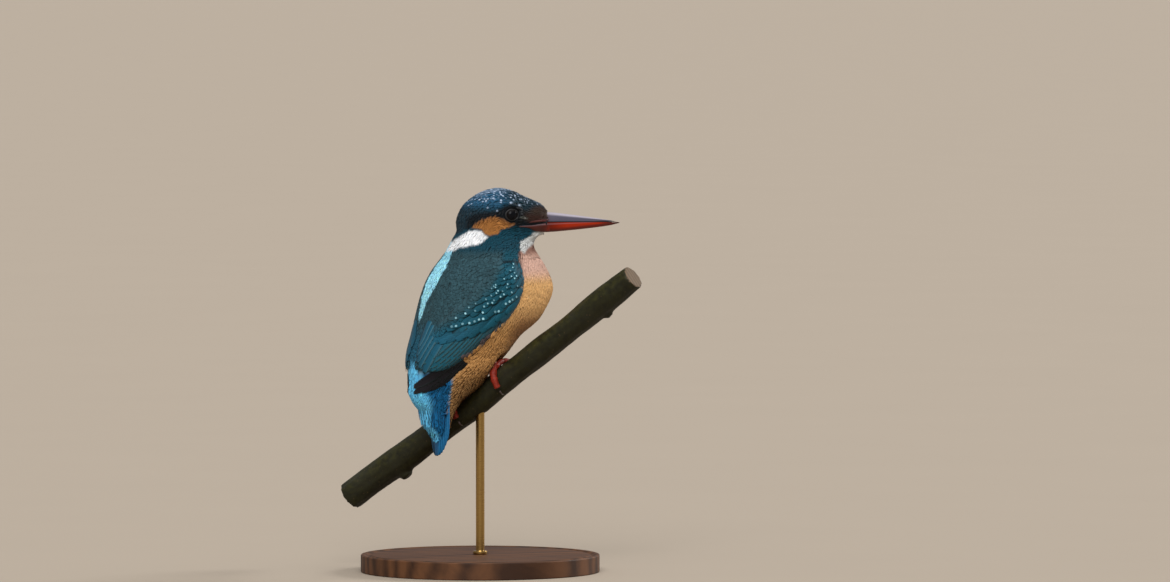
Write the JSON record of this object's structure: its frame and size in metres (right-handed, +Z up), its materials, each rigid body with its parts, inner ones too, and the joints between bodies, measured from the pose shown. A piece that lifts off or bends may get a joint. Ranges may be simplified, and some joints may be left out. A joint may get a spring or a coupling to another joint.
{
  "type": "kingfisher",
  "caption": "Life-size kingfisher sitting still on a cut length of branch, held over a round base by a rod.",
  "frame": {"origin": "centre of the display base's underside, on the surface that it stands on", "axes": "+Z up, +X the way the bird's body faces, +Y to the bird's left"},
  "size_m": [0.1189, 0.1359, 0.1771],
  "materials": {
    "crown": "soft, finely barred feathers",
    "nape": "soft feathers",
    "plumage": "soft loose feathers",
    "wing": "smooth close feathers with a silky sheen",
    "wing_tip": "long stiff feathers",
    "tail": "long smooth feathers",
    "upper_bill": "smooth horn, satin",
    "lower_bill": "smooth horn, satin",
    "eye": "wet gloss",
    "leg": "fine scales, satin",
    "claw": "smooth horn",
    "bark": "thin green-brown bark",
    "stand": "oiled dark wood",
    "rod": "satin dark paint"
  },
  "bodies": {
    "root": {"bill_lower": "lower_bill", "bill_upper": "upper_bill", "claw_left_hind": "claw", "claw_left_inner": "claw", "claw_left_middle": "claw", "claw_left_outer": "claw", "claw_right_hind": "claw", "claw_right_inner": "claw", "claw_right_middle": "claw", "claw_right_outer": "claw", "eye_left": "eye", "eye_right": "eye", "head": "crown", "leg_left": "leg", "leg_right": "leg", "neck": "nape", "perch": "bark", "stand_base": "stand", "stand_rod": "rod", "tail": "tail", "trunk": "plumage", "wing_left": "wing", "wing_right": "wing", "wing_tip_left": "wing_tip", "wing_tip_right": "wing_tip"}
  },
  "joints": []
}
